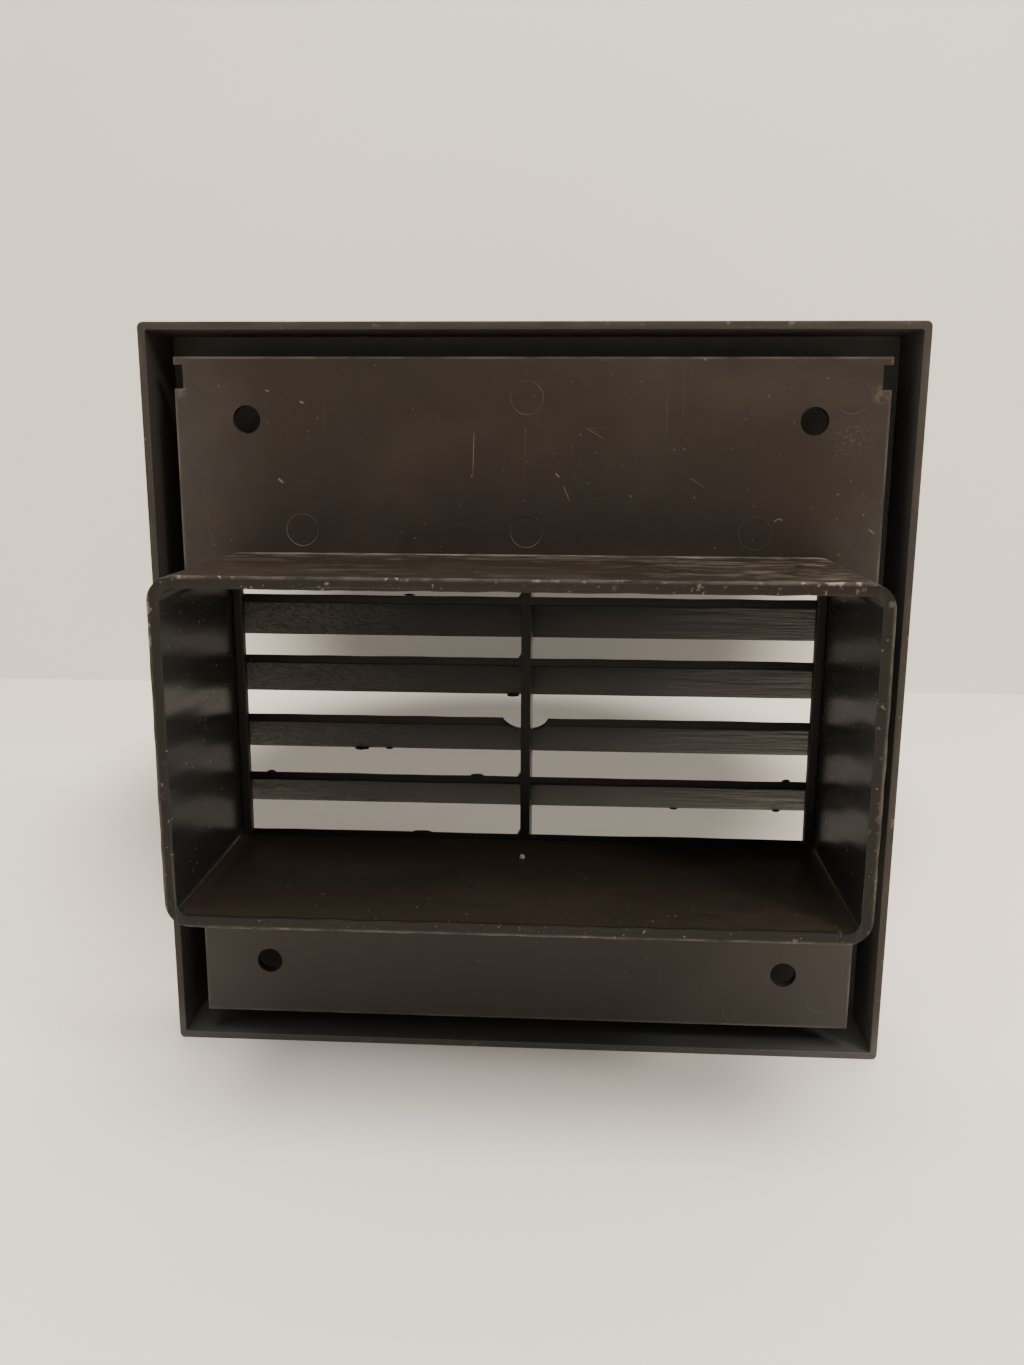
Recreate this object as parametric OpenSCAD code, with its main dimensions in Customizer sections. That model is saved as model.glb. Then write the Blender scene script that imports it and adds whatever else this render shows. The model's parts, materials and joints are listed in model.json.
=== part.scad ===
// Louvred vent outlet with a flat duct spigot.
// Two mouldings: a wall plate with its spigot, and a square louvred cover that fits over the plate.
// The origin is the centre of the plate's wall face, on the duct's axis.
// +Y points out of the weather side, -Y into the duct, and +Z is up.

/* [Cover] */
// Outside width and height of the square cover
cover_w = 140; // [136:1:180]
// Depth of the cover, from the rim's wall edge to the front face
cover_depth = 17; // [16:0.5:24]
// How far the rim's edge stands behind the plate's wall face
rim_proud = 1; // [0.5:0.25:2]
// Wall thickness of the rim
rim_wall = 1.4; // [1.2:0.1:3]
// Radius of the cover's four upright corners
cover_corner_r = 1; // [0.5:0.25:1.25]
// Thickness of the front panel
panel_t = 2; // [1.5:0.1:2.5]

/* [Wall plate] */
// Width and height of the square wall plate
plate_w = 128; // [126:1:130]
// Thickness of the wall plate
plate_t = 2; // [1.5:0.1:2.5]
// Diameter of the four screw holes
screw_hole_d = 5; // [4:0.25:5.5]
// Distance between the screw holes, side to side
screw_pitch_x = 102; // [98:1:106]
// Distance between the screw holes, top to bottom
screw_pitch_z = 106; // [98:1:110]
// Height of the notch in each side edge of the plate
notch_h = 4.2; // [3.5:0.1:6]
// Depth of the notch
notch_d = 1.6; // [1.2:0.1:2]
// Height of the ear left above each notch
ear_h = 1.4; // [1:0.1:3]

/* [Duct spigot] */
// Clear width inside the spigot, for a 110 by 54 flat duct
duct_w = 110.5; // [108:0.25:112]
// Clear height inside the spigot
duct_h = 54; // [52:0.25:56]
// Wall thickness of the spigot
spigot_wall = 2; // [1.5:0.1:2.5]
// Length of the spigot behind the plate
spigot_len = 38; // [20:1:60]
// Radius inside the spigot's corners
duct_corner_r = 2.2; // [1.5:0.1:4]
// Width of the upright stop on each side, which the end of the duct meets
stop_w = 1.75; // [1:0.25:3]

/* [Louvre] */
// Width of the louvre opening
window_w = 120; // [116:1:122]
// Height of the louvre opening
window_h = 74; // [74:0.5:80]
// Wall thickness of the collar round the opening
collar_wall = 2.5; // [2:0.1:3]
// Distance between one slat and the next
slat_pitch = 11.68; // [11.4:0.02:11.8]
// Height of the top slat's upper edge above the duct's axis
slat_top_z = 32.58; // [32.5:0.02:33.5]
// Drop of a slat from its back edge to its front edge
slat_drop = 10; // [8:0.1:10.2]
// Upright thickness of a slat
slat_t = 1.6; // [1.2:0.1:2]
// How far the slats stop behind the front face
slat_recess = 1; // [0.5:0.25:2]
// Thickness of the upright bar across the slats
mullion_t = 1.8; // [1.5:0.1:2.5]

/* [Hidden] */
$fn = 48;

plate_color = "#33291f";
cover_color = "#3a3026";

// Y of the rim's wall edge, the front face and the back of the front panel
rim_y = -rim_proud;
front_y = cover_depth - rim_proud;
panel_y = front_y - panel_t;
// Air left between the plate and the cover's inner parts
seat_gap = 0.3;
louvre_y = plate_t + seat_gap;
slat_end_y = front_y - slat_recess;

half_w = cover_w / 2;
half_plate = plate_w / 2;
half_duct_w = duct_w / 2;
half_duct_h = duct_h / 2;
half_win_w = window_w / 2;
half_win_h = window_h / 2;
collar_half_w = half_win_w + collar_wall;

// Gate recess in the fourth slat's back edge, cut by a cylinder along Y
recess_r = 4.4;
recess_depth = 3.35;

notch_z = half_plate - ear_h - notch_h / 2;
// Round ends of the duct stops, and the air left between them and the duct's flats
stop_end_r = 0.85;
stop_end_gap = 0.3;
nub_d = 1.1;
nub_h = 0.5;
nub_y = -7.6;

// A box given by its lowest and highest corners
module block(low, high) {
    translate(low) cube(high - low);
}

// A rectangle in X and Z, w wide and h high, with round corners, run from y0 to y1
module rounded_bar(w, h, r, y0, y1) {
    translate([0, y1, 0]) rotate([90, 0, 0]) linear_extrude(y1 - y0) {
        square([w - 2 * r, h], center = true);
        square([w, h - 2 * r], center = true);
        for (x = [-1, 1], z = [-1, 1])
            translate([x * (w / 2 - r), z * (h / 2 - r)]) circle(r);
    }
}

// ---- the wall plate moulding ----

module wall_plate() {
    color(plate_color) difference() {
        block([-half_plate, 0, -half_plate], [half_plate, plate_t, half_plate]);
        rounded_bar(duct_w, duct_h, duct_corner_r, -1, plate_t + 1);
        for (x = [-1, 1], z = [-1, 1])
            translate([x * screw_pitch_x / 2, plate_t + 1, z * screw_pitch_z / 2])
                rotate([90, 0, 0]) cylinder(d = screw_hole_d, h = plate_t + 2);
        for (side = [-1, 1])
            translate([side * half_plate, plate_t / 2, notch_z])
                cube([2 * notch_d, plate_t + 2, notch_h], center = true);
    }
}

module spigot_tube() {
    difference() {
        rounded_bar(duct_w + 2 * spigot_wall, duct_h + 2 * spigot_wall,
                    duct_corner_r + spigot_wall, -spigot_len, 0);
        rounded_bar(duct_w, duct_h, duct_corner_r, -spigot_len - 1, 1);
    }
}

// The part of the tube beyond the duct's flat face on one side; z is 1 for the top
module spigot_flat(z) {
    color(plate_color) intersection() {
        spigot_tube();
        translate([-half_w, -spigot_len, z > 0 ? half_duct_h - duct_corner_r : -half_w])
            cube([cover_w, spigot_len, half_w - half_duct_h + duct_corner_r]);
    }
}

// The upright wall between the top and bottom parts; x is 1 for the right
module spigot_side(x) {
    color(plate_color) translate([x * (half_duct_w + spigot_wall / 2), -spigot_len / 2, 0])
        cube([spigot_wall, spigot_len, duct_h - 2 * duct_corner_r], center = true);
}

module spigot_top() { spigot_flat(1); }
module spigot_bottom() { spigot_flat(-1); }
module spigot_left() { spigot_side(-1); }
module spigot_right() { spigot_side(1); }

// An upright stop in the plate's opening; x is 1 for the right
module duct_stop(x) {
    color(plate_color) intersection() {
        rounded_bar(duct_w, duct_h, duct_corner_r, 0, plate_t);
        translate([x * half_duct_w, 0, 0])
            rounded_bar(2 * stop_w, duct_h - 2 * stop_end_gap, stop_end_r, 0, plate_t);
    }
}

module duct_stop_left() { duct_stop(-1); }
module duct_stop_right() { duct_stop(1); }

// Stub of the moulding gate, left on the duct's floor
module gate_nub() {
    color(plate_color) translate([0, nub_y, -half_duct_h]) cylinder(d = nub_d, h = nub_h);
}

// ---- the louvred cover moulding ----

module front_panel() {
    color(cover_color) difference() {
        rounded_bar(cover_w, cover_w, cover_corner_r, panel_y, front_y);
        block([-half_win_w, panel_y - 1, -half_win_h], [half_win_w, front_y + 1, half_win_h]);
    }
}

// A rim wall across the whole width, with its two rounded corners
module rim_across(z) {
    color(cover_color) intersection() {
        rounded_bar(cover_w, cover_w, cover_corner_r, rim_y, panel_y);
        translate([-half_w, rim_y, z > 0 ? half_w - rim_wall : -half_w])
            cube([cover_w, panel_y - rim_y, rim_wall]);
    }
}

module rim_upright(x) {
    color(cover_color) translate([x * (half_w - rim_wall / 2), (rim_y + panel_y) / 2, 0])
        cube([rim_wall, panel_y - rim_y, cover_w - 2 * rim_wall], center = true);
}

module rim_top() { rim_across(1); }
module rim_bottom() { rim_across(-1); }
module rim_left() { rim_upright(-1); }
module rim_right() { rim_upright(1); }

module collar_across(z) {
    color(cover_color)
        translate([0, (louvre_y + panel_y) / 2, z * (half_win_h + collar_wall / 2)])
            cube([2 * collar_half_w, panel_y - louvre_y, collar_wall], center = true);
}

module collar_upright(x) {
    color(cover_color)
        translate([x * (half_win_w + collar_wall / 2), (louvre_y + panel_y) / 2, 0])
            cube([collar_wall, panel_y - louvre_y, window_h], center = true);
}

module collar_top() { collar_across(1); }
module collar_bottom() { collar_across(-1); }
module collar_left() { collar_upright(-1); }
module collar_right() { collar_upright(1); }

// Side view of a slat whose upper back edge is at height z
function slat_outline(z) = [
    [louvre_y, z - slat_t],
    [slat_end_y, z - slat_drop],
    [slat_end_y, z - slat_drop + slat_t],
    [louvre_y, z]
];

// Runs a side view, drawn in Y and Z, from x0 to x1
module across(x0, x1) {
    translate([x0, 0, 0]) rotate([90, 0, 90]) linear_extrude(x1 - x0) children();
}

// One slat, in two halves that meet the mullion's sides
module louvre_slat(i) {
    z = slat_top_z - (i - 1) * slat_pitch;
    color(cover_color) {
        across(-half_win_w, -mullion_t / 2) polygon(slat_outline(z));
        across(mullion_t / 2, half_win_w) polygon(slat_outline(z));
    }
}

module louvre_slat_1() { louvre_slat(1); }
module louvre_slat_2() { louvre_slat(2); }
module louvre_slat_3() { louvre_slat(3); }
module louvre_slat_4() {
    z = slat_top_z - 3 * slat_pitch;
    difference() {
        louvre_slat(4);
        translate([0, slat_end_y + 1, z - recess_depth + recess_r])
            rotate([90, 0, 0]) cylinder(r = recess_r, h = slat_end_y - louvre_y + 2);
    }
}
module louvre_slat_5() { louvre_slat(5); }
module louvre_slat_6() { louvre_slat(6); }

// The upright bar across all the slats
module centre_mullion() {
    color(cover_color)
        block([-mullion_t / 2, louvre_y, -half_win_h], [mullion_t / 2, slat_end_y, half_win_h]);
}

wall_plate();
spigot_top();
spigot_bottom();
spigot_left();
spigot_right();
duct_stop_left();
duct_stop_right();
gate_nub();
front_panel();
rim_top();
rim_bottom();
rim_left();
rim_right();
collar_top();
collar_bottom();
collar_left();
collar_right();
louvre_slat_1();
louvre_slat_2();
louvre_slat_3();
louvre_slat_4();
louvre_slat_5();
louvre_slat_6();
centre_mullion();
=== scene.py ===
"""Louvred vent outlet: a wall plate with a duct spigot, and the louvred cover that fits over it.

+Y is the weather side, -Y runs into the duct and +Z is up. Sizes are metres; MM turns millimetres
into them. Every piece takes its place from the CAD node that it stands for.
"""

import json
import math
from contextlib import contextmanager

import bmesh
import bpy
from mathutils import Matrix, Vector, noise


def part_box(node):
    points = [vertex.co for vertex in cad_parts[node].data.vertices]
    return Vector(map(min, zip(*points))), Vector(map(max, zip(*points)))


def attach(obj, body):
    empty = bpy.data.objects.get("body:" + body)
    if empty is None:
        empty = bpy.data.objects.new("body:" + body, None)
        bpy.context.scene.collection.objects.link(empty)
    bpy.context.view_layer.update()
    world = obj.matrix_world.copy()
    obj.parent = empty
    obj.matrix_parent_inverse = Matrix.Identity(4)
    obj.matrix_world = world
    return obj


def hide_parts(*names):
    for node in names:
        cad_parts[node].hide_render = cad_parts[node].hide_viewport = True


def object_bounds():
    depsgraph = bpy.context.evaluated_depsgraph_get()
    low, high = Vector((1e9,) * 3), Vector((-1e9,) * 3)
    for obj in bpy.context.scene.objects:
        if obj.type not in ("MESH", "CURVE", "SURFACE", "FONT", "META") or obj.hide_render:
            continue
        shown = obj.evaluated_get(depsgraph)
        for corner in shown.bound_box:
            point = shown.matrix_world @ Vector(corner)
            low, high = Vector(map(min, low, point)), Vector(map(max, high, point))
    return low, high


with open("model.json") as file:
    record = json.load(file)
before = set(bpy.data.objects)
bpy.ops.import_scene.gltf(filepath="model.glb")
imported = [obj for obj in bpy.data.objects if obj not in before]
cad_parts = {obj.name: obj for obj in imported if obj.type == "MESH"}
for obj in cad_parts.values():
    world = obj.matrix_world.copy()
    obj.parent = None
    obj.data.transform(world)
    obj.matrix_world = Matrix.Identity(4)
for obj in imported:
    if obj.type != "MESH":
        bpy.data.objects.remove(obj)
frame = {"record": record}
CAD_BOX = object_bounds()

MM = 0.001
SAME_PLACE = 0.01 * MM
UP = Vector((0, 0, 1))
OUT = Vector((0, 1, 0))
RIGHT = Vector((1, 0, 0))

# Places of the CAD parts that the pieces are cut and joined to
PLATE_LOW, PLATE_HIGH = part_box("wall_plate")
PANEL_LOW, PANEL_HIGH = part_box("front_panel")
SPIGOT_TOP_LOW, SPIGOT_TOP_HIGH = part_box("spigot_top")
SPIGOT_SIDE_LOW, SPIGOT_SIDE_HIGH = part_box("spigot_right")
COLLAR_LOW, COLLAR_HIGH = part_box("collar_top")
COLLAR_SIDE_LOW, COLLAR_SIDE_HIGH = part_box("collar_right")
RIM_LOW, RIM_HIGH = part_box("rim_top")
MULLION_LOW, MULLION_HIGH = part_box("centre_mullion")

SPIGOT_WALL = SPIGOT_SIDE_HIGH.x - SPIGOT_SIDE_LOW.x
RIM_WALL = RIM_HIGH.z - RIM_LOW.z
DUCT_HALF = Vector((SPIGOT_SIDE_LOW.x, 0, SPIGOT_TOP_HIGH.z - SPIGOT_WALL))
WINDOW_HALF = Vector((COLLAR_SIDE_LOW.x, 0, COLLAR_LOW.z))
SCREW_MOUNT = next(m for m in frame["record"]["mounts"] if m["name"] == "screw_holes")["dims"]
SCREW_AT = [
    (x * SCREW_MOUNT["spacing_x_mm"] / 2 * MM, z * SCREW_MOUNT["spacing_y_mm"] / 2 * MM)
    for x in (-1, 1)
    for z in (-1, 1)
]
SCREW_R = SCREW_MOUNT["hole_r_mm"] * MM
SLATS = 6
SLAT_THICKNESS = 1.6 * MM
GATE_SLAT = 4

# Sizes and places that the CAD boxes do not give
SPIGOT_CORNER = 4.2 * MM
OPENING_CORNER = 2.2 * MM
WINDOW_CORNER = 0.8 * MM
COVER_CORNER = 1.0 * MM
CAVITY_CORNER = 0.4 * MM
STOP_CORNER = 0.85 * MM
NOTCH_DEPTH = 1.6 * MM
NOTCH_LOW_Z, NOTCH_HIGH_Z = 58.4 * MM, 62.6 * MM
RECESS_RADIUS = 4.43 * MM
RECESS_DEPTH = 3.35 * MM
RECESS_LENGTH = 40 * MM
PIN_STEP = 0.14 * MM
BACK_CARD_Y = 0.34

# Ejector pins stood here in the plate's mould: x, z and radius in millimetres
PIN_MARKS = [
    (0, 56.9, 2.9), (0, 33.1, 2.9), (-41.4, 33.1, 2.9), (41.4, 33.1, 2.9),
    (-61, 31.6, 2.4), (57.3, 57.2, 2.9), (57.9, -58.7, 2.0), (41.4, -61.2, 1.8),
]

# Crumbs of flash on the slats: slat, place and size in millimetres
FLASH = [
    (3, -3.1, 15, -0.9, (1.3, 0.3, 0.4)), (4, -34.2, 15, -12.6, (1.5, 0.3, 0.35)),
    (4, -28.5, 15, -12.5, (0.8, 0.3, 0.2)), (5, -49.8, 2.5, -14.2, (1.0, 0.3, 0.3)),
    (5, -9.4, 2.5, -14.15, (1.3, 0.3, 0.3)), (5, 49.9, 2.5, -14.2, (0.9, 0.3, 0.45)),
    (5, 29.8, 15, -24.15, (0.8, 0.25, 0.25)), (5, 50.6, 15, -24.15, (0.8, 0.25, 0.3)),
    (6, -20.2, 2.5, -25.85, (1.8, 0.3, 0.2)), (2, -22.0, 2.5, 20.95, (1.2, 0.3, 0.2)),
]


# ---- modelling by hand ----

def clear_selection():
    for thing in list(bpy.context.selected_objects):
        thing.select_set(False)


def choose(piece):
    clear_selection()
    bpy.context.view_layer.objects.active = piece
    piece.select_set(True)


@contextmanager
def editing(piece):
    """Edit mode on one piece, with nothing in it selected."""
    choose(piece)
    bpy.ops.object.mode_set(mode="EDIT")
    bpy.ops.mesh.select_all(action="DESELECT")
    yield
    bpy.ops.object.mode_set(mode="OBJECT")


def pick(kind, test):
    """Selects only the faces, edges or verts for which test is true."""
    mesh = bpy.context.object.data
    bpy.ops.mesh.select_mode(type={"faces": "FACE", "edges": "EDGE", "verts": "VERT"}[kind])
    bpy.ops.mesh.select_all(action="DESELECT")
    cage = bmesh.from_edit_mesh(mesh)
    cage.normal_update()
    chosen = [part for part in getattr(cage, kind) if test(part)]
    for part in chosen:
        part.select_set(True)
    cage.select_flush_mode()
    bmesh.update_edit_mesh(mesh)


def middle(edge):
    return (edge.verts[0].co + edge.verts[1].co) / 2


def runs_along(edge, axis):
    way = edge.verts[1].co - edge.verts[0].co
    return way.length > 0 and abs(way.normalized().dot(axis)) > 0.99


def settle():
    """Puts the active object's place, turn and size into its mesh."""
    bpy.ops.object.transform_apply(location=True, rotation=True, scale=True)


def block(name, low, high):
    """A cube primitive between two corners."""
    low, high = Vector(low), Vector(high)
    clear_selection()
    bpy.ops.mesh.primitive_cube_add(size=1, location=(low + high) / 2, scale=high - low)
    settle()
    piece = bpy.context.object
    piece.name = piece.data.name = name
    return piece


def rod(name, centre, axis, radius, length, sides=40, end_radius=None):
    """A cylinder or cone primitive about a point, lying along an axis."""
    clear_selection()
    turn = UP.rotation_difference(Vector(axis)).to_euler()
    bpy.ops.mesh.primitive_cone_add(
        vertices=sides, radius1=radius, radius2=radius if end_radius is None else end_radius,
        depth=length, location=centre, rotation=turn)
    settle()
    piece = bpy.context.object
    piece.name = piece.data.name = name
    return piece


def run_modifier(piece, kind, **settings):
    choose(piece)
    modifier = piece.modifiers.new(kind.lower(), kind)
    for key, value in settings.items():
        setattr(modifier, key, value)
    bpy.ops.object.modifier_apply(modifier=modifier.name)


def join(pieces):
    """Joins pieces into the first of them."""
    choose(pieces[0])
    for other in pieces[1:]:
        other.select_set(True)
    bpy.ops.object.join()
    return pieces[0]


def combine(piece, tools, operation="DIFFERENCE"):
    """Cuts the tools out of a piece, or welds them onto it, one after another."""
    for tool in tools:
        run_modifier(piece, "BOOLEAN", object=tool, operation=operation, solver="EXACT")
        bpy.data.objects.remove(tool)
    return piece


def round_outline_corners(piece, radius, segments):
    """Rounds the edges that run along Y."""
    with editing(piece):
        pick("edges", lambda edge: runs_along(edge, OUT))
        bpy.ops.mesh.bevel(offset=radius, offset_type="OFFSET", segments=segments, profile=0.5,
                           affect="EDGES")


def soften(piece, width, segments=2, angle=35):
    """Rounds every sharp edge a little and gives flat faces flat shading."""
    run_modifier(piece, "BEVEL", width=width, segments=segments, limit_method="ANGLE",
                 angle_limit=math.radians(angle), use_clamp_overlap=True, miter_outer="MITER_ARC",
                 loop_slide=True)
    choose(piece)
    bpy.ops.object.shade_smooth_by_angle(angle=math.radians(50))
    run_modifier(piece, "WEIGHTED_NORMAL", keep_sharp=True, weight=80, mode="FACE_AREA")


def clean(piece):
    """Merges points that share a place and turns every face outwards."""
    with editing(piece):
        bpy.ops.mesh.select_all(action="SELECT")
        bpy.ops.mesh.remove_doubles(threshold=SAME_PLACE)
        bpy.ops.mesh.normals_make_consistent(inside=False)


def slice_along(piece, axis, start, end, steps):
    """Cuts extra edge loops across a piece, so that its long edges can take small dents."""
    with editing(piece):
        for step in range(1, steps):
            place = axis * (start + (end - start) * step / steps)
            bpy.ops.mesh.select_all(action="SELECT")
            bpy.ops.mesh.bisect(plane_co=place, plane_no=axis)


def wear(piece, test, depth, scale, seed, push):
    """Moves the points that test allows by smooth noise, along push."""
    for point in piece.data.vertices:
        share = test(point.co)
        if share:
            at = point.co * scale + Vector((seed, seed * 2.3, seed * 0.7))
            point.co += push(point.co) * (noise.noise(at) * depth * share)


# ---- shader maths ----

class Signal:
    """A shader socket that stands in a Python expression; each operator adds a Math node."""

    def __init__(self, finish, socket):
        self.finish = finish
        self.socket = socket

    def math(self, operation, *others, clamp=False):
        settings = {"operation": operation, "use_clamp": clamp}
        return self.finish.node("ShaderNodeMath", settings, dict(enumerate((self, *others))))

    def __add__(self, other):
        return self.math("ADD", other)

    __radd__ = __add__

    def __mul__(self, other):
        return self.math("MULTIPLY", other)

    def __sub__(self, other):
        return self.math("SUBTRACT", other)

    def __rsub__(self, other):
        return (self * -1) + other

    def __truediv__(self, other):
        return self.math("DIVIDE", other)

    def __abs__(self):
        return self.math("ABSOLUTE")

    def clamped(self):
        return self.math("ADD", 0.0, clamp=True)

    def root(self):
        return self.math("SQRT")

    def most(self, other):
        return self.math("MAXIMUM", other)

    def rise(self, start, end):
        """0 below start, 1 above end, and an even ramp between them."""
        return ((self - start) / (end - start)).clamped()


class Finish:
    """One material: its node tree, and short ways to add to it."""

    def __init__(self, name):
        self.material = bpy.data.materials.new(name)
        self.material.use_nodes = True
        self.tree = self.material.node_tree
        self.tree.nodes.clear()
        self.place = self.node("ShaderNodeTexCoord", out="Object")
        self.x, self.y, self.z = self.split(self.place)

    def node(self, kind, settings=None, values=None, out=0):
        made = self.tree.nodes.new(kind)
        for key, value in (settings or {}).items():
            setattr(made, key, value)
        for key, value in (values or {}).items():
            socket = made.inputs[key]
            if isinstance(value, Signal):
                self.tree.links.new(value.socket, socket)
            else:
                socket.default_value = value
        return Signal(self, made.outputs[out])

    def split(self, vector):
        parts = self.node("ShaderNodeSeparateXYZ", values={0: vector})
        return [Signal(self, socket) for socket in parts.socket.node.outputs]

    def stretched(self, x, y, z, offset=(0, 0, 0)):
        """The place, with each axis multiplied by its own number."""
        kind = "ShaderNodeVectorMath"
        scaled = self.node(kind, {"operation": "MULTIPLY"}, {0: self.place, 1: (x, y, z)})
        return self.node(kind, {"operation": "ADD"}, {0: scaled, 1: offset})

    def cloud(self, scale, detail=3.0, rough=0.55, vector=None, bend=0.0):
        """Noise from 0 to 1. A bigger scale makes smaller clouds."""
        values = {"Vector": vector or self.place, "Scale": scale, "Detail": detail,
                  "Roughness": rough, "Distortion": bend}
        return self.node("ShaderNodeTexNoise", values=values, out="Fac")

    def blend(self, share, first, second):
        """Mixes two colours."""
        settings = {"data_type": "RGBA", "clamp_factor": True}
        return self.node("ShaderNodeMix", settings, {0: share, 6: first, 7: second}, out=2)

    def bump(self, height, depth, below=None):
        """Height from 0 to 1 stands for depth in metres."""
        values = {"Height": height, "Distance": depth, "Strength": 1.0}
        if below:
            values["Normal"] = below
        return self.node("ShaderNodeBump", values=values)

    def close(self, colour, rough, normal, **constants):
        """Joins it all in one shader and gives back the finished material."""
        values = {"Base Color": colour, "Roughness": rough, "Normal": normal, **constants}
        shader = self.node("ShaderNodeBsdfPrincipled", values=values)
        output = self.tree.nodes.new("ShaderNodeOutputMaterial")
        self.tree.links.new(shader.socket, output.inputs["Surface"])
        return self.material


def rgb(red, green, blue):
    """A colour picked as it looks on a screen, 0 to 255, as the shader's linear colour."""
    def linear(value):
        value /= 255
        return value / 12.92 if value <= 0.04045 else ((value + 0.055) / 1.055) ** 2.4
    return (linear(red), linear(green), linear(blue), 1.0)


def reach_from(f, x, z):
    """How far a place is from a point of the plate's plane, which is given in millimetres."""
    across = f.x - x * MM
    along = f.z - z * MM
    return (across * across + along * along).root()


def ring(f, x, z, radius, width):
    """1 on a thin circle in the plate's plane, 0 away from it. All in millimetres."""
    from_line = abs(reach_from(f, x, z) - radius * MM)
    return 1 - from_line.rise(0.3 * width * MM, width * MM)


def spot(f, x, z, radius):
    """1 at a point of the plate's plane, fading to 0 at the radius. All in millimetres."""
    return 1 - reach_from(f, x, z).rise(0.4 * radius * MM, radius * MM)


def scratch(f, start, end, width):
    """1 on a line across the plate's plane, fading at its ends. All in millimetres."""
    start, end = Vector(start) * MM, Vector(end) * MM
    way = end - start
    length = way.length
    way.normalize()
    along = (f.x - start.x) * way.x + (f.z - start.y) * way.y
    aside = abs((f.x - start.x) * way.y - (f.z - start.y) * way.x)
    inside = along.rise(0, 0.15 * length) * (1 - along.rise(0.7 * length, length))
    return inside * (1 - aside.rise(0.3 * width * MM, width * MM))


def base_plastic(f, colour, tint, grain_depth=0.02 * MM):
    """The shared ground of both mouldings: uneven pigment, fine skin, hairline rubs and dusty
    specks.
    """
    pigment = f.cloud(28, 4, 0.6)
    flow = f.cloud(1, 3, 0.6, f.stretched(30, 60, 45))
    ground = f.blend(pigment.rise(0.3, 0.7), colour, tint)
    ground = f.blend(flow.rise(0.5, 0.8) * 0.14, ground, rgb(92, 80, 68))
    fine_dust = f.cloud(2400, 1, 0.5).rise(0.7, 0.76) * f.cloud(60, 2, 0.5).rise(0.4, 0.7)
    speck = f.cloud(1300, 1, 0.5).rise(0.742, 0.762).most(fine_dust * 0.5)
    hair_across = f.cloud(1, 2, 0.5, f.stretched(35, 1900, 2300)).rise(0.66, 0.72)
    hair_upright = f.cloud(1, 2, 0.5, f.stretched(2100, 1900, 30, (3, 1, 7))).rise(0.68, 0.74)
    rub = f.cloud(45, 3, 0.5).rise(0.45, 0.65)
    hair = (hair_across + hair_upright).clamped() * rub
    grain = f.cloud(3800, 2, 0.6)
    skin = f.cloud(320, 2, 0.5)
    normal = f.bump(grain * 0.6 + skin, grain_depth)
    normal = f.bump(1 - hair, 0.01 * MM, normal)
    return ground, speck, hair, normal, pigment


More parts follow.
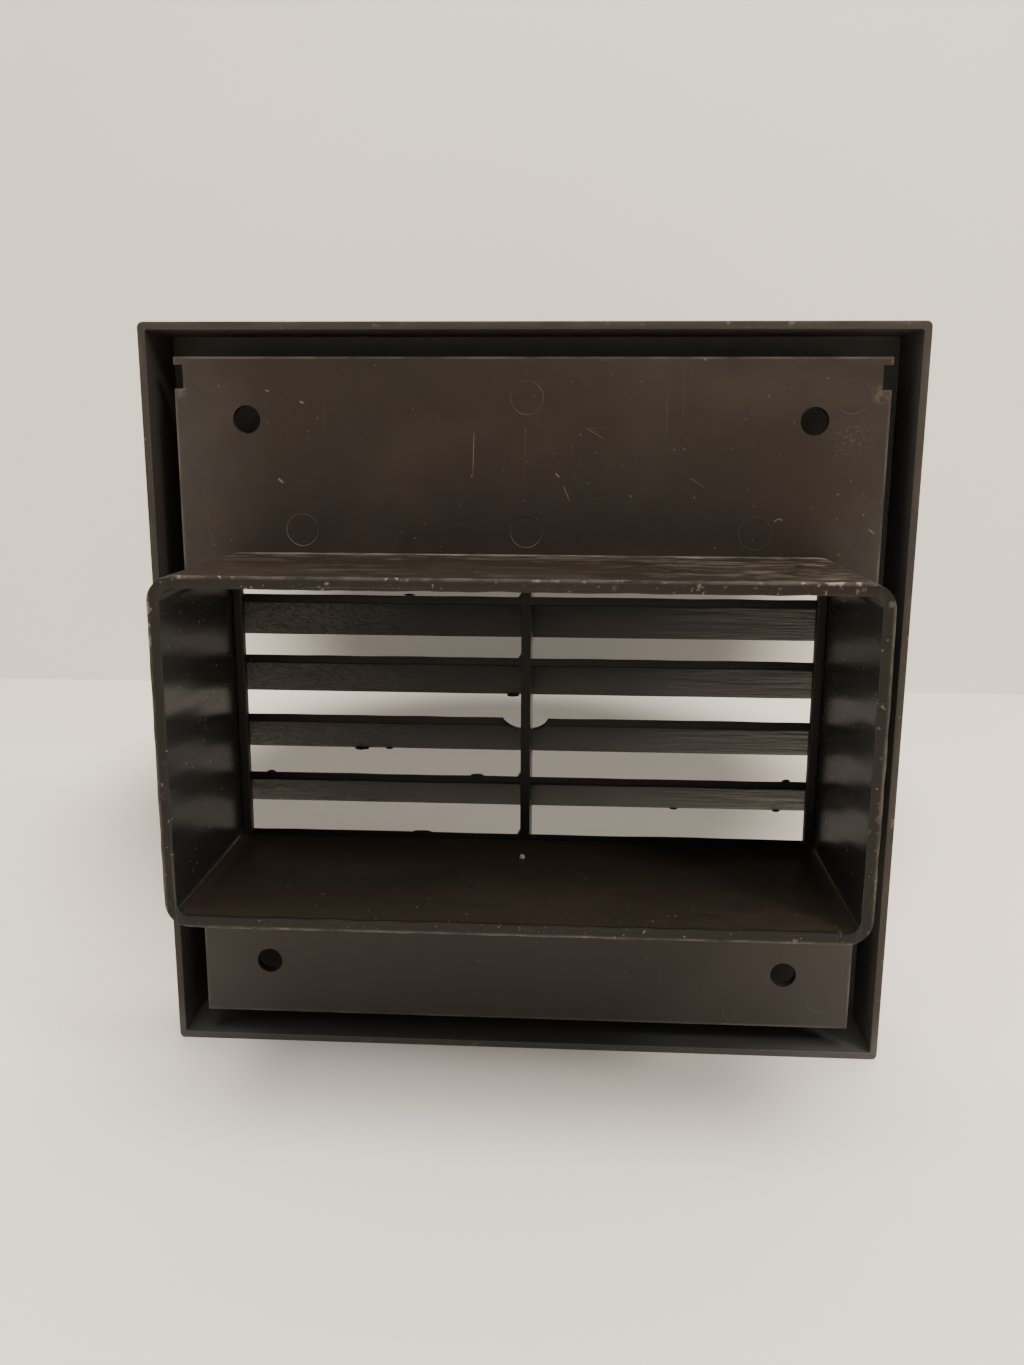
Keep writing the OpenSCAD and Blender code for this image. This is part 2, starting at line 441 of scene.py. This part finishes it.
def plate_plastic():
    """Chocolate brown, satin, with the pins' rings, a pitted patch, hazy scuffing and a few
    scratches; painted sheen and highlights on its face and edges, painted shade in its opening and
    painted bounce light below the duct.
    """
    f = Finish("plate_plastic")
    ground, speck, hair, normal, pigment = base_plastic(f, rgb(44, 34, 27), rgb(38, 32, 25))
    broken = f.cloud(75, 2, 0.5).rise(0.44, 0.58)
    # The pins' rings are a low ridge in the bump; their pale line is a painted highlight, weaker to
    # the right.
    ring_width = 0.12
    marks = ring(f, *PIN_MARKS[0], ring_width)
    for mark in PIN_MARKS[1:]:
        marks = marks.most(ring(f, *mark, ring_width))
    marks = marks * (broken * 0.9 + 0.1) * (1 - f.x.rise(20 * MM, 45 * MM) * 0.5)
    cuts = scratch(f, (-9.5, 51.2), (-9.8, 43), 0.08)
    for start, end, width in [
        ((-9.8, 43.4), (-10.1, 42.8), 0.09),
        ((5.2, 43.7), (6.0, 42.9), 0.17), ((6.6, 41.6), (7.9, 38.6), 0.08),
        ((-41.2, 56.2), (-40.3, 55.9), 0.22), ((-45.6, 42.5), (-44.6, 41.6), 0.25),
        ((10.4, 51.9), (14.4, 49.4), 0.04), ((29.4, 43), (32.5, 41), 0.04),
        ((44.7, 35.3), (45.6, 35.9), 0.12), ((45.5, 35.9), (46.3, 35.5), 0.12),
        ((61.6, 34.1), (62.8, 33.2), 0.12), ((-47.4, 58.2), (-46.6, 57.9), 0.15),
        ((31.0, 63.8), (31.6, 63.3), 0.14),
    ]:
        cuts = cuts.most(scratch(f, start, end, width))
    on_back = 1 - f.y.rise(0.2 * MM, 0.5 * MM)
    pitted = spot(f, 57.6, 50.1, 4.5) * f.cloud(1700, 2, 0.6).rise(0.5, 0.64)
    smear = f.cloud(26, 4, 0.7).rise(0.3, 0.75)
    left_edge = 1 - f.x.rise(-64 * MM, -46 * MM)
    right_edge = f.x.rise(50 * MM, 64 * MM)
    top_edge = f.z.rise(55 * MM, 63 * MM) * f.x.rise(-20 * MM, 30 * MM)
    # Hazy lightening at the left, right and top of the plate's face: partly scuffing, partly a
    # painted sheen of reflected room light.
    haze_and_sheen = on_back * smear * (left_edge + right_edge * 0.8 + top_edge * 0.5)
    below_duct = 1 - f.z.rise(-36 * MM, -30 * MM)
    side = PLATE_HIGH.x
    edge = abs(f.x).rise(side - 0.5 * MM, side - 0.1 * MM).most(
        abs(f.z).rise(side - 0.5 * MM, side - 0.1 * MM))
    # Light on the plate's outer edges: partly wear, partly a painted highlight along them.
    worn_edge_and_glint = edge * f.cloud(120, 3, 0.6).rise(0.35, 0.6)
    ground = f.blend(haze_and_sheen * 0.42, ground, rgb(82, 79, 76))
    # Painted shade: the faces of the plate's opening are darkened nearly to black.
    within_duct = (1 - abs(f.x).rise(DUCT_HALF.x + 0.05 * MM, DUCT_HALF.x + 0.25 * MM)) * (
        1 - abs(f.z).rise(DUCT_HALF.z - 0.1 * MM, DUCT_HALF.z + 0.1 * MM))
    ground = f.blend(within_duct * 0.75, ground, rgb(22, 20, 18))
    # Painted bounce light: the plate below the duct is lightened and greyed.
    ground = f.blend(below_duct * 0.4, ground, rgb(62, 60, 57))
    # Burrs at the notch sills, lightened as a painted highlight.
    notch_sills = spot(f, -62.8, 58.0, 1.5).most(spot(f, 62.5, 57.6, 2.0))
    frayed_glint = notch_sills * f.cloud(800, 3, 0.6).rise(0.45, 0.6)
    light = (marks * 0.13).most(cuts * 0.34).most(pitted * 0.06).most(frayed_glint * 0.13) * on_back
    light = light.most(worn_edge_and_glint * 0.16).most(speck * 0.16).most(hair * 0.05)
    colour = f.blend(light, ground, rgb(160, 148, 134))
    rough = 0.42 + pigment * 0.1 + haze_and_sheen * 0.12 + light * 0.2
    normal = f.bump(marks * on_back, 0.04 * MM, normal)
    normal = f.bump(pitted * on_back, 0.03 * MM, normal)
    return f.close(colour, rough, normal, **{"Specular IOR Level": 0.2, "IOR": 1.49})


def spigot_plastic():
    """The plate's plastic on the spigot: rubbed on its top and chipped at its mouth, with painted
    sheen, highlights and shade on its top, mouth and bore.
    """
    f = Finish("spigot_plastic")
    ground, speck, hair, normal, pigment = base_plastic(f, rgb(43, 36, 29), rgb(37, 32, 27))
    mouth_y = SPIGOT_TOP_LOW.y
    outer_x, outer_z = SPIGOT_SIDE_HIGH.x, SPIGOT_TOP_HIGH.z
    on_top = f.z.rise(outer_z - 0.35 * MM, outer_z - 0.05 * MM)
    rub = f.cloud(1, 4, 0.62, f.stretched(45, 420, 60), 0.6).rise(0.5, 0.72)
    streak = f.cloud(1, 3, 0.6, f.stretched(26, 1100, 60, (2, 8, 1)), 0.8).rise(0.58, 0.7)
    smear = f.cloud(1, 4, 0.65, f.stretched(70, 150, 40, (9, 4, 2)), 1.8).rise(0.5, 0.66)
    to_right = f.x.rise(10 * MM, 45 * MM)
    near_root = f.y.rise(-16 * MM, -5 * MM)
    root_glint_line = f.y.rise(-4 * MM, -2.5 * MM) * f.cloud(160, 3, 0.6).rise(0.3, 0.6)
    patchy = f.cloud(55, 2, 0.5).rise(0.4, 0.62)
    # Pale streaks and smears on the top: partly dusty rubbing, partly a painted sheen of light from
    # above, with a painted highlight line near the root.
    dust_and_sheen = on_top * (patchy * (rub * (near_root * 0.9 + 0.1) + streak * 0.5) + root_glint_line
                     + smear * (to_right * 0.5 + near_root * 0.4 + 0.15))
    # Painted highlight along the root's chamfer, near the spigot's top.
    root_highlight = f.y.rise(-0.85 * MM, -0.65 * MM) * f.z.rise(outer_z - 3 * MM, outer_z - 1 * MM)
    # Painted reflection: the bore's side walls are greyed and cooled as if mirroring pale light.
    bore_side = abs(f.x).rise(DUCT_HALF.x - 0.85 * MM, DUCT_HALF.x - 0.25 * MM) * (
        1 - abs(f.x).rise(DUCT_HALF.x + 0.1 * MM, DUCT_HALF.x + 0.25 * MM))
    near_mouth = 1 - f.y.rise(mouth_y + 0.15 * MM, mouth_y + 0.9 * MM)
    past_edge = abs(f.z).rise(outer_z - 0.55 * MM, outer_z - 0.15 * MM).most(
        abs(f.x).rise(outer_x - 0.55 * MM, outer_x - 0.15 * MM))
    chip = f.cloud(700, 3, 0.65).rise(0.55, 0.62) * f.cloud(70, 2, 0.5).rise(0.42, 0.6)
    top_share = f.z.rise(0, outer_z) * 0.6 + 0.4
    chips = near_mouth * past_edge * chip * top_share
    # Painted highlight along the mouth's outer edges.
    mouth_edge_highlight = near_mouth * past_edge * f.cloud(220, 3, 0.6).rise(0.28, 0.6)
    nick = near_mouth * f.cloud(520, 3, 0.65).rise(0.62, 0.68) * f.cloud(40, 2, 0.5).rise(0.45, 0.6)
    # Painted shade on the mouth's end face, darker towards its bottom.
    ground = f.blend(near_mouth * (1 - top_share * 0.5), ground, rgb(16, 14, 12))
    # Painted shade: the spigot's top is darkened.
    ground = f.blend(on_top * 0.3, ground, rgb(28, 21, 14))
    ground = f.blend(bore_side * 0.75, ground, rgb(28, 31, 31))
    light = (dust_and_sheen * 0.27).clamped().most(root_highlight * 0.24).most(chips * 0.6).most(mouth_edge_highlight * 0.14)
    light = light.most(nick * 0.25).most(speck * 0.2).most(hair * 0.06)
    colour = f.blend(light, ground, rgb(170, 160, 145))
    rough = 0.3 + pigment * 0.08 + light * 0.3 - bore_side * 0.1
    normal = f.bump(chips, 0.1 * MM, normal)
    return f.close(colour, rough, normal, **{"Specular IOR Level": 0.18, "IOR": 1.49})


def cover_plastic():
    """Olive brown, a little more matt than the plate, with handled edges and painted light in its
    channel and along its lower rim.
    """
    f = Finish("cover_plastic")
    ground, speck, hair, normal, pigment = base_plastic(
        f, rgb(52, 45, 38), rgb(44, 39, 34), grain_depth=0.03 * MM)
    outer = PANEL_HIGH.x
    edge = abs(f.x).rise(outer - 1.1 * MM, outer - 0.1 * MM).most(
        abs(f.z).rise(outer - 1.1 * MM, outer - 0.1 * MM))
    handled = edge * f.cloud(85, 3, 0.6).rise(0.42, 0.7)
    nick = edge * f.cloud(300, 2, 0.6).rise(0.66, 0.7)
    inner = outer - RIM_WALL
    inside = (1 - abs(f.x).most(abs(f.z)).rise(inner + 0.05 * MM, inner + 0.2 * MM)) * (
        1 - f.y.rise(PANEL_LOW.y + 0.3 * MM, PANEL_LOW.y + 0.6 * MM))
    low_rim = 1 - f.z.rise(-68 * MM, -60 * MM)
    away_from_left = f.x.rise(-68 * MM, -60 * MM) * 0.6 + 0.4
    # Painted light: the channel inside the rim and the lower rim are lightened, less at the left.
    ground = f.blend((inside * away_from_left).most(low_rim) * 0.65, ground, rgb(76, 75, 72))
    light = (handled * 0.12).most(nick * 0.35).most(speck * 0.2).most(hair * 0.06)
    colour = f.blend(light, ground, rgb(140, 130, 112))
    rough = 0.42 + pigment * 0.12 + light * 0.15
    normal = f.bump(nick, 0.08 * MM, normal)
    return f.close(colour, rough, normal, **{"Specular IOR Level": 0.25, "IOR": 1.49})


def louvre_plastic():
    """The cover's plastic at the louvre: darker as painted shade, less rough, with flow marks at
    the slats' ends and painted shade on its near faces.
    """
    f = Finish("louvre_plastic")
    # The base colours are a darker, greyer copy of the cover's plastic, as painted shade.
    ground, speck, hair, normal, pigment = base_plastic(f, rgb(27, 29, 30), rgb(22, 25, 26))
    left_end = 1 - f.x.rise(-52 * MM, -18 * MM)
    right_end = f.x.rise(22 * MM, 50 * MM)
    swirl = f.cloud(190, 3, 0.6, bend=4.5).rise(0.46, 0.54)
    streak = f.cloud(1, 3, 0.6, f.stretched(60, 400, 620, (5, 2, 1))).rise(0.42, 0.62)
    flow = (left_end * swirl).most(right_end * streak)
    near_face = 1 - f.y.rise(MULLION_LOW.y + 0.1 * MM, MULLION_LOW.y + 0.4 * MM)
    # Painted shade: the near faces of the slats and the mullion are darkened.
    ground = f.blend(near_face * 0.75, ground, rgb(16, 14, 12))
    slat_low, slat_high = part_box("louvre_slat_1")
    pitch = slat_high.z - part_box("louvre_slat_2")[1].z
    fall = (slat_high.z - slat_low.z - SLAT_THICKNESS) / (slat_high.y - slat_low.y)
    turns = (f.z - slat_high.z) / pitch + (f.y - slat_low.y) * (fall / pitch) + 0.07
    off_collar = 1 - abs(f.x).rise(WINDOW_HALF.x - 1.5 * MM, WINDOW_HALF.x - 0.5 * MM)
    underside = turns.math("FRACT").rise(0.4, 0.6) * off_collar
    within = (1 - abs(f.z).rise(WINDOW_HALF.z - 0.5 * MM, WINDOW_HALF.z)) * (
        1 - f.y.rise(slat_high.y - 0.8 * MM, slat_high.y - 0.4 * MM))
    flow = flow * underside * within * (1 - near_face)
    light = (flow * 0.34).most(speck * 0.2).most(hair * 0.05)
    colour = f.blend(light, ground, rgb(128, 122, 112))
    rough = 0.36 + pigment * 0.08 + flow * 0.14
    normal = f.bump(flow, 0.22 * MM, normal)
    return f.close(colour, rough, normal, **{"Specular IOR Level": 0.12, "IOR": 1.49})


def torn_plastic():
    """The pale, torn face of the moulding gate's stub."""
    f = Finish("torn_plastic")
    torn = f.cloud(2600, 3, 0.7)
    colour = f.blend(torn.rise(0.35, 0.62), rgb(88, 76, 60), rgb(178, 166, 142))
    normal = f.bump(torn, 0.2 * MM)
    return f.close(colour, 0.5 + torn * 0.3, normal, IOR=1.49)


def backdrop_card(name, tint, centre, reach):
    """Pale card with a barely visible tooth, and soft shade on it behind the object."""
    f = Finish(name)
    tone = f.cloud(3, 3, 0.5)
    card = f.blend(tone.rise(0.35, 0.65) * 0.2, tint, rgb(255, 252, 246))
    aside, back, up = [(part - at) / size for part, at, size in zip((f.x, f.y, f.z), centre, reach)]
    near = 1 - (aside * aside + back * back + up * up).root().rise(0.5, 1.0)
    shade = near * near * (3 - near * 2)
    colour = f.blend(shade * 0.92, card, rgb(84, 81, 77))
    tooth = f.bump(f.cloud(900, 2), 0.05 * MM)
    return f.close(colour, 0.7 + tone * 0.1, tooth, **{"Specular IOR Level": 0.1})


# ---- the wall plate moulding ----

def tube(name, half, wall, low_y, high_y, corner, segments, outward):
    """A rectangular tube along Y with round corners, from a cube with its ends taken off."""
    piece = block(name, (-half.x, low_y, -half.z), (half.x, high_y, half.z))
    round_outline_corners(piece, corner, segments)
    with editing(piece):
        pick("faces", lambda face: abs(face.normal.y) > 0.9)
        bpy.ops.mesh.delete(type="FACE")
    run_modifier(piece, "SOLIDIFY", thickness=wall, offset=1 if outward else -1,
                 use_even_offset=True, use_quality_normals=True)
    clean(piece)
    return piece


def wall_plate():
    """The square plate: duct opening, screw holes, edge notches and steps from the mould's pins."""
    piece = block("wall_plate_moulding", PLATE_LOW, PLATE_HIGH)
    opening = block("opening", (-DUCT_HALF.x, PLATE_LOW.y - MM, -DUCT_HALF.z),
                    (DUCT_HALF.x, PLATE_HIGH.y + MM, DUCT_HALF.z))
    round_outline_corners(opening, OPENING_CORNER, 6)
    thickness = PLATE_HIGH.y - PLATE_LOW.y
    cutters = [opening]
    for x, z in SCREW_AT:
        centre = (x, PLATE_LOW.y + thickness / 2, z)
        cutters.append(rod("hole", centre, OUT, SCREW_R, 2 * thickness, 48))
    for side in (-1, 1):
        notch = block("notch", (PLATE_HIGH.x - NOTCH_DEPTH, PLATE_LOW.y - MM, NOTCH_LOW_Z),
                      (PLATE_HIGH.x + MM, PLATE_HIGH.y + MM, NOTCH_HIGH_Z))
        if side < 0:
            choose(notch)
            notch.scale.x = -1
            settle()
            clean(notch)
        cutters.append(notch)
    combine(piece, cutters)
    pins = [rod("pin", (x * MM, PLATE_LOW.y, z * MM), OUT, radius * MM, PIN_STEP)
            for x, z, radius in PIN_MARKS]
    combine(piece, pins)
    soften(piece, 0.22 * MM)
    return piece


def duct_spigot():
    """The rectangular spigot: a chamfer at its root and a mouth that has been knocked about."""
    half = Vector((SPIGOT_SIDE_HIGH.x, 0, SPIGOT_TOP_HIGH.z))
    mouth_y, root_y = SPIGOT_TOP_LOW.y, SPIGOT_TOP_HIGH.y
    piece = tube("duct_spigot", half, SPIGOT_WALL, mouth_y, root_y, SPIGOT_CORNER, 8, False)
    with editing(piece):
        pick("edges", lambda edge: abs(middle(edge).y - root_y) < SAME_PLACE
             and not runs_along(edge, OUT) and outside_of_tube(middle(edge), half))
        bpy.ops.mesh.bevel(offset=0.6 * MM, segments=1, affect="EDGES")
    slice_along(piece, RIGHT, -half.x, half.x, 150)
    slice_along(piece, UP, -half.z, half.z, 70)
    soften(piece, 0.3 * MM, 2, 40)

    def at_mouth(co):
        return 1.0 if co.y < mouth_y + 0.5 * MM else 0.0

    def inward(co):
        return Vector((-co.x * 0.3, 0, -co.z)).normalized()

    wear(piece, at_mouth, 0.16 * MM, 260, 3.1, inward)
    wear(piece, at_mouth, 0.22 * MM, 38, 8.4, lambda co: OUT)
    return piece


def outside_of_tube(at, half):
    """True at the outer skin of the spigot, false at its bore."""
    return abs(at.x) > half.x - 0.6 * SPIGOT_WALL or abs(at.z) > half.z - 0.6 * SPIGOT_WALL


def duct_stop(side):
    """The upright rib that the duct's end meets, with round ends and a worn inner edge."""
    low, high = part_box(f"duct_stop_{side}")
    piece = block(f"{side}_duct_stop", low, high)
    inner = high.x if side == "left" else low.x
    with editing(piece):
        pick("edges", lambda edge: runs_along(edge, OUT)
             and abs(middle(edge).x - inner) < SAME_PLACE)
        bpy.ops.mesh.bevel(offset=STOP_CORNER, segments=5, affect="EDGES")
    slice_along(piece, UP, low.z, high.z, 30)
    soften(piece, 0.25 * MM, 3, 40)
    wear(piece, lambda co: 1.0, 0.05 * MM, 300, 2.0 if side == "left" else 6.0, lambda co: RIGHT)
    return piece


def gate_nub():
    """The stub of the moulding gate: a short cone with a torn, lopsided top."""
    low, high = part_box("gate_nub")
    centre = (low + high) / 2
    width = high.x - low.x
    piece = rod("gate_stub", centre, UP, width / 2, high.z - low.z, 20, width * 0.36)
    with editing(piece):
        pick("faces", lambda face: face.normal.z > 0.9)
        bpy.ops.mesh.inset(thickness=0.1 * MM)
        bpy.ops.mesh.inset(thickness=0.12 * MM, depth=-0.12 * MM)
    wear(piece, lambda co: 1.0 if co.z > centre.z else 0.0, 0.12 * MM, 2600, 5.0, lambda co: UP)
    soften(piece, 0.04 * MM, 2, 30)
    return piece


# ---- the louvred cover moulding ----

def cover_shell():
    """Front panel and rim in one: a tray, open to the wall, with the louvre's opening in it."""
    piece = block("cover_shell", (PANEL_LOW.x, RIM_LOW.y, PANEL_LOW.z), PANEL_HIGH)
    inner = PANEL_HIGH.x - RIM_WALL
    round_outline_corners(piece, COVER_CORNER, 4)
    with editing(piece):
        pick("edges", lambda edge: not runs_along(edge, OUT)
             and middle(edge).y > PANEL_HIGH.y - SAME_PLACE)
        bpy.ops.mesh.bevel(offset=0.7 * MM, segments=4, affect="EDGES")
    cavity = block("cavity", (-inner, RIM_LOW.y - MM, -inner), (inner, PANEL_LOW.y, inner))
    round_outline_corners(cavity, CAVITY_CORNER, 3)
    opening = block("opening", (-WINDOW_HALF.x, PANEL_LOW.y - MM, -WINDOW_HALF.z),
                    (WINDOW_HALF.x, PANEL_HIGH.y + MM, WINDOW_HALF.z))
    round_outline_corners(opening, WINDOW_CORNER, 3)
    combine(piece, [cavity, opening])
    soften(piece, 0.2 * MM, 2, 40)
    return piece


def louvre_collar():
    """The frame round the slats, which stands back from the panel towards the plate."""
    wall = COLLAR_SIDE_HIGH.x - COLLAR_SIDE_LOW.x
    piece = tube("louvre_collar", WINDOW_HALF, wall, COLLAR_LOW.y, COLLAR_HIGH.y, WINDOW_CORNER, 4,
                 True)
    soften(piece, 0.25 * MM, 2)
    return piece


def slat_blank():
    """The top slat as a plain bar that falls towards the front, to be copied for each slat."""
    low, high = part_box("louvre_slat_1")
    drop = high.z - low.z - SLAT_THICKNESS
    piece = block("slat_blank", (low.x, low.y, high.z - SLAT_THICKNESS), high)
    with editing(piece):
        pick("verts", lambda point: point.co.y > (low.y + high.y) / 2)
        bpy.ops.transform.translate(value=(0, 0, -drop))
    return piece


def copy_down(blank, name, fall):
    """A copy of the blank, moved down."""
    choose(blank)
    bpy.ops.object.duplicate()
    piece = bpy.context.object
    piece.name = piece.data.name = name
    piece.location.z -= fall
    settle()
    return piece


def louvre_slat(number, blank):
    """One slat, with its ragged back edge and crumbs of flash. One has the gate's bite in it."""
    low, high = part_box(f"louvre_slat_{number}")
    piece = copy_down(blank, f"slat_{number}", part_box("louvre_slat_1")[1].z - high.z)
    if number == GATE_SLAT:
        combine(piece, [gate_recess(high)])
    slice_along(piece, RIGHT, low.x, high.x, 100)
    soften(piece, 0.2 * MM, 2, 30)
    wear(piece, lambda co: 1.0 if co.y < low.y + 0.5 * MM else 0.35, 0.12 * MM, 120,
         number * 3.7, lambda co: UP)
    crumbs = [flash_bit("crumb", Vector((x, y, z)) * MM, Vector(size) * MM, x + z)
              for slat, x, y, z, size in FLASH if slat == number]
    return join([piece] + crumbs)


def gate_recess(slat_high):
    """The round bite out of the gate slat's back edge, where the mould's runner came in."""
    centre = (0, slat_high.y, slat_high.z - RECESS_DEPTH + RECESS_RADIUS)
    return rod("recess", centre, OUT, RECESS_RADIUS, RECESS_LENGTH, 64)


def flash_bit(name, at, size, seed):
    """A crumb of flash, left where the mould's halves met: a squashed, lumpy ball."""
    clear_selection()
    bpy.ops.mesh.primitive_ico_sphere_add(subdivisions=2, radius=1, location=at, scale=size)
    settle()
    piece = bpy.context.object
    piece.name = name
    wear(piece, lambda co: 1.0, min(size) * 0.8, 900, seed, lambda co: (co - at).normalized())
    return piece


def centre_mullion():
    """The upright bar, with thin webs of flash where it crosses the slats."""
    proud = Vector((0, 0.1 * MM, 0))
    piece = block("mullion", MULLION_LOW - proud, MULLION_HIGH)
    web_width = 0.6 * MM
    web_root = 0.2 * MM
    web_top_width = 0.05 * MM
    webs = []
    for number in range(1, SLATS + 1):
        if number == GATE_SLAT:
            continue
        low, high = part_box(f"louvre_slat_{number}")
        web = block("web", (MULLION_LOW.x - web_width, low.y, high.z - web_root),
                    (MULLION_LOW.x + web_root, low.y + 1.5 * MM, high.z + web_width))
        with editing(web):
            pick("verts", lambda point: point.co.x < MULLION_LOW.x - web_width / 2
                 and point.co.z > high.z)
            bpy.ops.transform.translate(value=(web_width - web_top_width, 0, 0))
        webs.append(web)
    combine(piece, webs, "UNION")
    slice_along(piece, UP, MULLION_LOW.z, MULLION_HIGH.z, 40)
    soften(piece, 0.22 * MM, 2, 30)
    return piece


# ---- floor, light and camera ----

def card(name, tint, at, turn, shade_centre, shade_reach):
    """A big flat sheet of the backdrop's card."""
    bpy.ops.mesh.primitive_plane_add(size=6, location=at, rotation=turn)
    settle()
    sheet = bpy.context.object
    sheet.name = name
    sheet.data.materials.append(backdrop_card(name, tint, shade_centre, shade_reach))


def studio():
    table = CAD_BOX[0].z
    card("table_top", rgb(250, 240, 226), (0, 0, table), (0, 0, 0),
         (-0.02, 0.19, table), (0.16, 0.2, 1))
    card("back_card", rgb(232, 223, 210), (0, BACK_CARD_Y, table), (math.pi / 2, 0, 0),
         (-0.01, BACK_CARD_Y, -0.04), (0.17, 1, 0.12))
    world = bpy.data.worlds.new("studio")
    world.use_nodes = True
    sky = world.node_tree.nodes["Background"]
    sky.inputs["Color"].default_value = (0.80, 0.80, 0.80, 1)
    sky.inputs["Strength"].default_value = 0.72
    bpy.context.scene.world = world
    for name, at, size, power, colour in [
        ("key", (0.62, -0.60, 0.66), 0.22, 5.5, (1.0, 0.95, 0.88)),
        ("fill", (-0.9, -0.5, 0.5), 0.9, 2.5, (0.93, 0.96, 1.0)),
        ("ceiling", (0.12, -0.3, 1.1), 0.8, 16.5, (1.0, 0.97, 0.93)),
    ]:
        lamp = bpy.data.objects.new(name, bpy.data.lights.new(name, "AREA"))
        lamp.data.size = size
        lamp.data.energy = power
        lamp.data.color = colour
        lamp.location = at
        lamp.rotation_euler = (-Vector(at)).to_track_quat("-Z", "Y").to_euler()
        bpy.context.scene.collection.objects.link(lamp)


def camera():
    """A wide lens near the duct's mouth, a little above it and turned slightly left and down."""
    eye = bpy.data.objects.new("camera", bpy.data.cameras.new("camera"))
    eye.data.sensor_width = 36
    eye.data.lens = 30.31
    eye.data.clip_start = 0.01
    yaw, pitch, roll = 0.0558, -0.211, -0.004
    turn = (Matrix.Rotation(yaw, 4, "Z") @ Matrix.Rotation(pitch + math.pi / 2, 4, "X")
            @ Matrix.Rotation(-roll, 4, "Z"))
    eye.matrix_world = Matrix.Translation((9.30 * MM, -211.18 * MM, 50.19 * MM)) @ turn
    bpy.context.scene.collection.objects.link(eye)
    bpy.context.scene.camera = eye


# ---- assembly ----

def place(piece, material, body, slot, *nodes):
    """Gives a finished piece its material and its body, and hides the CAD nodes that it stands for.
    """
    piece.data.materials.clear()
    piece.data.materials.append(material)
    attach(piece, body)
    if nodes:
        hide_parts(*nodes)


def build():
    plate_finish, spigot_finish = plate_plastic(), spigot_plastic()
    cover_finish, louvre_finish = cover_plastic(), louvre_plastic()
    place(wall_plate(), plate_finish, "plate", "plate_plastic", "wall_plate")
    place(duct_spigot(), spigot_finish, "plate", "plate_plastic",
          "spigot_top", "spigot_bottom", "spigot_left", "spigot_right")
    for side in ("left", "right"):
        place(duct_stop(side), plate_finish, "plate", "plate_plastic", f"duct_stop_{side}")
    place(gate_nub(), torn_plastic(), "plate", "plate_plastic", "gate_nub")
    place(cover_shell(), cover_finish, "cover", "cover_plastic",
          "front_panel", "rim_top", "rim_bottom", "rim_left", "rim_right")
    place(louvre_collar(), louvre_finish, "cover", "cover_plastic",
          "collar_top", "collar_bottom", "collar_left", "collar_right")
    blank = slat_blank()
    for number in range(1, SLATS + 1):
        place(louvre_slat(number, blank), louvre_finish, "cover", "cover_plastic",
              f"louvre_slat_{number}")
    bpy.data.objects.remove(blank)
    place(centre_mullion(), louvre_finish, "cover", "cover_plastic", "centre_mullion")


camera()
studio()
build()
